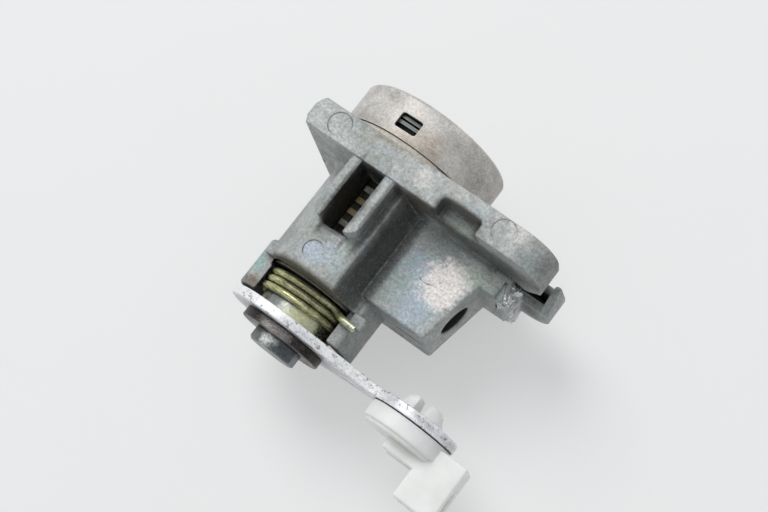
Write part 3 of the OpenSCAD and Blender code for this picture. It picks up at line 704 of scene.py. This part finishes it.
capValues = {
    "windowSides": (-2.85, 1.25),
    "windowEnds": (3.1, 5.8),
    "windowAbove": 12,  # the window's corners are the upright edges higher than this
    "windowRound": 0.5,
    "width": 0.12,
    "segments": 2,
    "angle": 50,
    "light": (208, 204, 199),
    "dark": (172, 168, 162),
    "hollowShadeAndDirt": (112, 98, 82),
    "wornAndGlint": (214, 211, 206),
    "metal": 0.35,
    "gloss": (0.46, 0.62),
    "grain": 0.8,
    "bump": 0.3,
    "mottle": (0.74, 1.18),
    "freckles": (0.5, 0.58),
    "stainsAndPaintedLight": (
        ((3.2, 3.0, 13.4), (5.2, 2.8, 2.4), (158, 132, 100), 0.6),
        ((-1.0, 1.4, 13.9), (9.5, 1.2, 2.2), (150, 140, 122), 0.8),
        ((11.6, 4.6, 7.6), (1.6, 2.2, 2.6), (120, 120, 118), 0.6),
        # a painted sheen on the cap's upper right
        ((8.2, 3.2, 11.0), (3.0, 1.7, 2.6), (206, 206, 204), 0.5),
    ),
}


def roundWindow(piece, size):  # the four corners of the window
    pickOnly(piece)
    bpy.ops.object.mode_set(mode="EDIT")
    bpy.ops.mesh.select_mode(type="EDGE")
    bpy.ops.mesh.select_all(action="DESELECT")
    shape = bmesh.from_edit_mesh(piece.data)
    for edge in shape.edges:
        first, second = edge.verts[0].co / mm, edge.verts[1].co / mm
        upright = math.hypot(first.x - second.x, first.y - second.y) < 0.02
        atTop = min(first.z, second.z) > size["windowAbove"]
        atSide = min(abs(first.x - side) for side in size["windowSides"]) < 0.05
        atEnd = min(abs(first.y - end) for end in size["windowEnds"]) < 0.05
        edge.select_set(upright and atTop and atSide and atEnd)
    bmesh.update_edit_mesh(piece.data)
    bpy.ops.mesh.bevel(offset=size["windowRound"] * mm, segments=4, affect="EDGES")
    bpy.ops.object.mode_set(mode="OBJECT")


pressedCap = copyOfNode("face_cap", "pressedCap")
roundWindow(pressedCap, capValues)
breakEdges(pressedCap, capValues)
capFinish = metalFinish("cap", capValues)
paint(pressedCap, capFinish)
dress(pressedCap, "housing", "stainless", "face_cap")


# bars behind the cap's window, their steel darkened as painted shade behind the window

stapleValues = {
    "width": 0.12,
    "segments": 2,
    "angle": 50,
    "light": (118, 122, 120),
    "dark": (70, 72, 72),
    "hollowShadeAndDirt": (14, 14, 14),
    "wornAndGlint": (150, 154, 152),
    "metal": 0.5,
    "gloss": (0.4, 0.6),
    "grain": 1.6,
    "bump": 0.3,
}

capStaple = roundedCopy("cap_staple", "capStaple", stapleValues)
paint(capStaple, metalFinish("stapleSteel", stapleValues))
dress(capStaple, "housing", "steel", "cap_staple")


# cam lever: bright plating that flakes off, painted highlights on its top edges, and painted shade with
# grease on its rear face round the bolt

leverValues = {
    "width": 0.28,
    "segments": 3,
    "angle": 50,
    "light": (244, 244, 246),
    "dark": (200, 201, 206),
    "hollowShadeAndDirt": (40, 38, 36),
    "wornAndGlint": (252, 252, 250),
    "reach": 1.0,
    "metal": 0.25,
    "gloss": (0.22, 0.45),
    "grain": 0.9,
    "bump": 0.3,
    "flake": (96, 86, 80),
    "flakeFrom": 0.55,
    "stainsAndPaintedLight": (
        # painted shade with grease on the rear face round the bolt
        ((0, -32.7, 0), (9.2, 0.5, 9.2), (70, 62, 58), 0.8),
        # painted highlights on the top edges
        ((14.4, -31.7, 5.0), (5.5, 1.2, 1.2), (255, 255, 255), 0.95),
        ((-3.0, -31.7, 10.0), (5.0, 1.2, 1.2), (255, 255, 255), 0.8),
    ),
}

leverPlate = roundedCopy("cam_lever", "leverPlate", leverValues)
paint(leverPlate, metalFinish("leverPlating", leverValues))
dress(leverPlate, "plug", "plated_steel", "cam_lever")


# washer under the bolt, black with grease, with a painted reflection on its top

washerValues = {
    "width": 0.25,
    "segments": 2,
    "angle": 50,
    "light": (66, 60, 58),
    "dark": (16, 15, 14),
    "hollowShadeAndDirt": (8, 8, 7),
    "wornAndGlint": (130, 124, 118),
    "metal": 0.6,
    "gloss": (0.18, 0.5),
    "grain": 1.6,
    "bump": 0.5,
    "flake": (118, 92, 74),
    "flakeFrom": 0.57,
    # painted reflection on the washer's top
    "stainsAndPaintedLight": (((0.6, -33.5, 7.2), (3.0, 1.4, 1.5), (158, 154, 150), 0.95),),
}

greasyWasher = roundedCopy("lever_washer", "greasyWasher", washerValues)
paint(greasyWasher, metalFinish("greasySteel", washerValues))
dress(greasyWasher, "plug", "dark_steel", "lever_washer")


# sleeve inside the spring

sleeveValues = {
    "width": 0.1,
    "segments": 2,
    "angle": 50,
    "light": (210, 208, 160),
    "dark": (150, 154, 146),
    "hollowShadeAndDirt": (30, 30, 24),
    "wornAndGlint": (232, 232, 206),
    "metal": 0.6,
    "gloss": (0.24, 0.45),
    "grain": 0.6,
    "bump": 0.15,
    "stainsAndPaintedLight": (
        ((-2.6, -29.4, 6.4), (3.4, 2.6, 2.4), (122, 126, 132), 0.95),
        # painted shade in a crease under the spring
        ((6.6, -29.6, 3.6), (2.0, 2.6, 2.4), (44, 44, 38), 0.95),
    ),
}

yellowSleeve = roundedCopy("spring_sleeve", "yellowSleeve", sleeveValues)
paint(yellowSleeve, metalFinish("sleevePlating", sleeveValues))
dress(yellowSleeve, "plug", "sleeve", "spring_sleeve")


# rod clip in white nylon

clipValues = {
    "width": 0.4,
    "segments": 3,
    "angle": 50,
    "light": (243, 243, 241),
    "dark": (232, 232, 228),
    # painted shade with dirt, for the clip's corners
    "clipShadeAndDirt": (190, 184, 168),
    "glow": 0.6,
    "glowReach": (2.2, 2.2, 2.0),  # mm
}


def nylonFinish(name, look):
    finish, tree, surface, vector = startFinish(name)
    cloud = noisePattern(tree, vector, 0.22, 3, 0.5)
    fine = noisePattern(tree, vector, 4, 3, 0.6)
    colour = colourRamp(tree, cloud, ((0.35, look["dark"]), (0.65, look["light"])))
    # painted shade with dirt in the clip's corners
    colour = mixColour(tree, hollowShadeMask(tree, 0.8, 0.1, 0.5), colour, look["clipShadeAndDirt"])
    tree.links.new(colour, surface.inputs["Base Color"])
    surface.inputs["Subsurface Weight"].default_value = look["glow"]
    surface.inputs["Subsurface Radius"].default_value = look["glowReach"]
    surface.inputs["Subsurface Scale"].default_value = mm
    tree.links.new(fadeBetween(tree, fine, 0.3, 0.7, 0.38, 0.5), surface.inputs["Roughness"])
    addBump(tree, surface, fine, 0.1, 0.05)
    return finish


nylonClip = roundedCopy("rod_clip", "nylonClip", clipValues)
paint(nylonClip, nylonFinish("nylonWhite", clipValues))
dress(nylonClip, "rod_clip", "nylon", "rod_clip")


# wafers: three in yellow brass, the rest greyer

waferValues = {
    "count": 8,
    "yellow": (3, 4, 7),
    "width": 0.12,
    "segments": 2,
    "angle": 50,
    # these tones are paler than the brass, as painted light against the shade in the slot
    "light": (240, 218, 168),
    "dark": (206, 180, 126),
    "hollowShadeAndDirt": (60, 54, 40),
    "wornAndGlint": (246, 236, 204),
    "metal": 0.25,
    "gloss": (0.3, 0.5),
    "grain": 1.6,
    "bump": 0.15,
}
greyWafers = {
    # paler than the brass, as painted light against the shade in the slot
    "light": (244, 244, 232),
    "dark": (208, 208, 190),
    "hollowShadeAndDirt": (60, 58, 48),
    "wornAndGlint": (250, 248, 238),
}

brass = metalFinish("brass", waferValues)
greyBrass = metalFinish("greyBrass", {**waferValues, **greyWafers})
for number in range(1, waferValues["count"] + 1):
    wafer = roundedCopy(f"wafer_{number}", f"waferPlate{number}", waferValues)
    paint(wafer, brass if number in waferValues["yellow"] else greyBrass)
    dress(wafer, f"wafer_{number}", "brass", f"wafer_{number}")
print("pressings, clip and wafers dressed")


# return spring, wound as the solid is, with a rounder wire

springValues = {
    "wireRadius": 0.65,
    "wireSides": 5,
    "middleRadius": 7.65,
    "front": 25.3,
    "pitch": 1.34,
    "firstAngle": 46,
    "lastAngle": 956,
    "turnStep": 5,
    "tangHeight": 6.2,
    # along x, ahead of the coil's front, above the tang's height
    "tang": ((10.5, 0.9, 0), (8.1, 0.75, -0.05), (7.4, 0.58, -0.3), (6.75, 0.35, -0.72), (6.05, 0.12, -0.9)),
    "tangSteps": 6,
    "legBend": 1.5,
    "legAngles": (20, 35, 50, 65),
    "light": (218, 218, 170),
    "dark": (168, 170, 118),
    "hollowShadeAndDirt": (78, 72, 48),
    "wornAndGlint": (240, 242, 214),
    "metal": 0.5,
    "gloss": (0.22, 0.42),
    "grain": 1.4,
    "bump": 0.25,
    # reach in mm of the painted shade with dirt between the turns
    "crevice": 2.6,
    "streaks": (84, 80, 52),
    "stainsAndPaintedLight": (
        ((1.0, -26.4, 7.9), (5.4, 1.5, 1.8), (112, 108, 88), 0.95),
        ((6.4, -27.0, 5.4), (2.4, 2.6, 2.0), (62, 60, 44), 0.85),
        ((9.6, -26.2, 6.1), (1.6, 1.4, 1.4), (214, 216, 200), 0.9),
    ),
}


def smoothLine(points, steps):  # a soft curve through the given points
    line = []
    padded = [points[0]] + list(points) + [points[-1]]
    for before, start, end, after in zip(padded, padded[1:], padded[2:], padded[3:]):
        before, start, end, after = Vector(before), Vector(start), Vector(end), Vector(after)
        for step in range(steps):
            t = step / steps
            slope = (end - before) * t
            bend = (2 * before - 5 * start + 4 * end - after) * t * t
            twist = (3 * start - before - 3 * end + after) * t ** 3
            line.append(0.5 * (2 * start + slope + bend + twist))
    line.append(Vector(points[-1]))
    return line


def wireAlong(name, points, radius, sides):  # round wire through the points, as a closed tube
    clearSelection()
    bpy.ops.curve.primitive_nurbs_path_add(location=(0, 0, 0))
    wire = bpy.context.object
    wire.name = name
    curve = wire.data
    while curve.splines:
        curve.splines.remove(curve.splines[0])
    line = curve.splines.new("POLY")
    line.points.add(len(points) - 1)
    for point, place in zip(line.points, points):
        point.co = (place[0] * mm, place[1] * mm, place[2] * mm, 1)
    curve.bevel_depth = radius * mm
    curve.bevel_resolution = sides
    curve.use_fill_caps = True
    pickOnly(wire)
    bpy.ops.object.convert(target="MESH")
    wire = bpy.context.object
    bpy.ops.object.mode_set(mode="EDIT")
    bpy.ops.mesh.select_all(action="SELECT")
    bpy.ops.mesh.remove_doubles(threshold=0.001 * mm)
    bpy.ops.mesh.normals_make_consistent(inside=False)
    bpy.ops.object.mode_set(mode="OBJECT")
    bpy.ops.object.shade_smooth_by_angle(angle=math.radians(meshValues["smoothAngle"]))
    return wire


def windReturnSpring(size):
    front, radius, first = size["front"], size["middleRadius"], size["firstAngle"]
    tang = [(along, -front - ahead, size["tangHeight"] + rise) for along, ahead, rise in size["tang"]]
    coil = []
    for turn in range(first, size["lastAngle"] + 1, size["turnStep"]):
        angle = math.radians(turn)
        back = -front - size["pitch"] * (turn - first) / 360
        coil.append((radius * math.cos(angle), back, radius * math.sin(angle)))
    end = math.radians(size["lastAngle"])
    coilEnd = front + size["pitch"] * (size["lastAngle"] - first) / 360
    leg = []
    for bend in size["legAngles"]:
        bend = math.radians(bend)
        along = size["legBend"] * math.sin(bend)
        leg.append((radius * math.cos(end) - along * math.sin(end),
                    -coilEnd - size["legBend"] * (1 - math.cos(bend)),
                    radius * math.sin(end) + along * math.cos(end)))
    path = smoothLine(tang + coil[:1], size["tangSteps"])[:-1] + [Vector(place) for place in coil + leg]
    return wireAlong("returnSpring", path, size["wireRadius"], size["wireSides"])


returnSpring = windReturnSpring(springValues)
paint(returnSpring, metalFinish("springPlating", springValues))
dress(returnSpring, "housing", "plated_spring", "return_spring")
print("return spring wound")


# hexagon bolt: six-sided head with a turned dome, plain shank

boltValues = {
    "acrossFlats": 8.0,
    "turn": 23.8,
    "headFront": -34.3,
    "headBack": -36.6,
    "domeStart": -36.1,
    "domeShare": 0.62,  # the dome's radius for the size across flats
    "domeTop": 3.8,
    "domeSides": 72,
    "shank": 2.45,
    "shankEnd": -26.0,
    "shankSides": 40,
    "tipChamfer": 0.4,
    "overlap": 0.3,
    "width": 0.08,
    "segments": 2,
    "angle": 20,
    "light": (126, 130, 128),
    "dark": (72, 78, 80),
    "hollowShadeAndDirt": (24, 24, 24),
    "wornAndGlint": (176, 182, 180),
    "metal": 0.75,
    "gloss": (0.26, 0.42),
    "grain": 1.5,
    "bump": 0.35,
    "flake": (52, 54, 54),
    "flakeFrom": 0.6,
    "stainsAndPaintedLight": (
        # painted highlight on the lit top facet, and painted light and shade on the facets beside it
        ((-0.4, -35.2, 3.7), (1.5, 1.3, 0.9), (250, 250, 246), 0.98),
        ((-3.2, -35.2, 2.4), (1.4, 2.0, 1.6), (104, 106, 102), 0.8),
        ((3.0, -35.2, 3.0), (1.9, 2.0, 1.8), (58, 64, 68), 0.85),
    ),
}


def cutTurnedBar(name, radius, yFront, yBack, sides):  # a bar along Y, flat ends
    clearSelection()
    bpy.ops.mesh.primitive_cylinder_add(vertices=sides, radius=radius * mm, depth=(yFront - yBack) * mm,
                                        location=(0, (yFront + yBack) / 2 * mm, 0),
                                        rotation=(math.radians(90), 0, 0))
    bar = bpy.context.object
    bar.name = name
    bpy.ops.object.transform_apply(location=True, rotation=True, scale=True)
    return bar


def turnHexBolt(size):
    headRadius = size["acrossFlats"] / math.sqrt(3)
    head = cutTurnedBar("hexBolt", headRadius, size["headFront"], size["headBack"], 6)
    head.rotation_euler = (0, -math.radians(size["turn"] - 30), 0)
    bpy.ops.object.transform_apply(location=False, rotation=True, scale=False)
    domeRadius = size["acrossFlats"] * size["domeShare"]
    dome = cutTurnedBar("boltDome", domeRadius, size["headFront"] + 1, size["domeStart"], size["domeSides"])
    bpy.ops.object.mode_set(mode="EDIT")
    pickFaces(dome, lambda centre, normal: normal.y < -0.9)
    rise = (size["headBack"] - 0.05 - size["domeStart"]) * mm
    bpy.ops.mesh.extrude_region_move(TRANSFORM_OT_translate={"value": (0, rise, 0)})
    ratio = size["domeTop"] / domeRadius
    bpy.ops.transform.resize(value=(ratio, 1, ratio), center_override=(0, size["headBack"] * mm, 0))
    bpy.ops.object.mode_set(mode="OBJECT")
    shape = head.modifiers.new("turnedDome", "BOOLEAN")
    shape.operation = "INTERSECT"
    shape.solver = "EXACT"
    shape.object = dome
    pickOnly(head)
    bpy.ops.object.modifier_apply(modifier="turnedDome")
    bpy.data.objects.remove(dome)
    shankBack = size["headFront"] - size["overlap"]
    shank = cutTurnedBar("boltShank", size["shank"], size["shankEnd"], shankBack, size["shankSides"])
    bpy.ops.object.mode_set(mode="EDIT")
    pickFaces(shank, lambda centre, normal: normal.y > 0.9)
    bpy.ops.mesh.bevel(offset=size["tipChamfer"] * mm, segments=2, affect="EDGES")
    bpy.ops.object.mode_set(mode="OBJECT")
    clearSelection()
    shank.select_set(True)
    head.select_set(True)
    bpy.context.view_layer.objects.active = head
    bpy.ops.object.join()
    breakEdges(head, size)
    return head


hexBolt = turnHexBolt(boltValues)
paint(hexBolt, metalFinish("boltSteel", boltValues))
dress(hexBolt, "plug", "dark_steel", "hex_bolt")
print("bolt turned")


# what is held inside keeps its own solids

# a dark tone for grime and for painted shade between the wafers
plugValues = {
    "light": (120, 118, 104),
    "dark": (74, 72, 62),
    "hollowShadeAndDirt": (14, 14, 12),
    "wornAndGlint": (164, 158, 132),
    "metal": 0.6,
    "gloss": (0.35, 0.55),
    "grain": 1.5,
    "bump": 0.2,
}
shutterValues = {
    "light": (190, 192, 194),
    "dark": (150, 152, 154),
    "hollowShadeAndDirt": (30, 30, 30),
    "wornAndGlint": (238, 238, 236),
    "metal": 0.85,
    "gloss": (0.25, 0.5),
    "grain": 1.2,
    "bump": 0.2,
}
smallSprings = {
    "light": (170, 172, 174),
    "dark": (118, 120, 122),
    "hollowShadeAndDirt": (24, 24, 24),
    "wornAndGlint": (220, 222, 224),
    "metal": 0.9,
    "gloss": (0.2, 0.35),
    "grain": 3,
    "bump": 0.08,
}
sealValues = {"dark": (28, 27, 26), "light": (54, 53, 50), "grain": 6}


def rubberFinish(name, look):
    finish, tree, surface, vector = startFinish(name)
    fine = noisePattern(tree, vector, look["grain"], 4, 0.6)
    colour = colourRamp(tree, fine, ((0.3, look["dark"]), (0.7, look["light"])))
    tree.links.new(colour, surface.inputs["Base Color"])
    tree.links.new(fadeBetween(tree, fine, 0.3, 0.7, 0.55, 0.75), surface.inputs["Roughness"])
    addBump(tree, surface, fine, 0.2, 0.05)
    return finish


shutterSteel = metalFinish("steel", shutterValues)
springSteel = metalFinish("springSteel", smallSprings)
paint(cadNodes["key_plug"], metalFinish("plugZinc", plugValues))
paint(cadNodes["plug_face"], capFinish)
paint(cadNodes["shutter"], shutterSteel)
paint(cadNodes["shutter_pin"], shutterSteel)
paint(cadNodes["shutter_spring"], springSteel)
paint(cadNodes["plug_seal"], rubberFinish("sealRubber", sealValues))
for number in range(1, waferValues["count"] + 1):
    paint(cadNodes[f"wafer_spring_{number}"], springSteel)
print("pieces dressed")
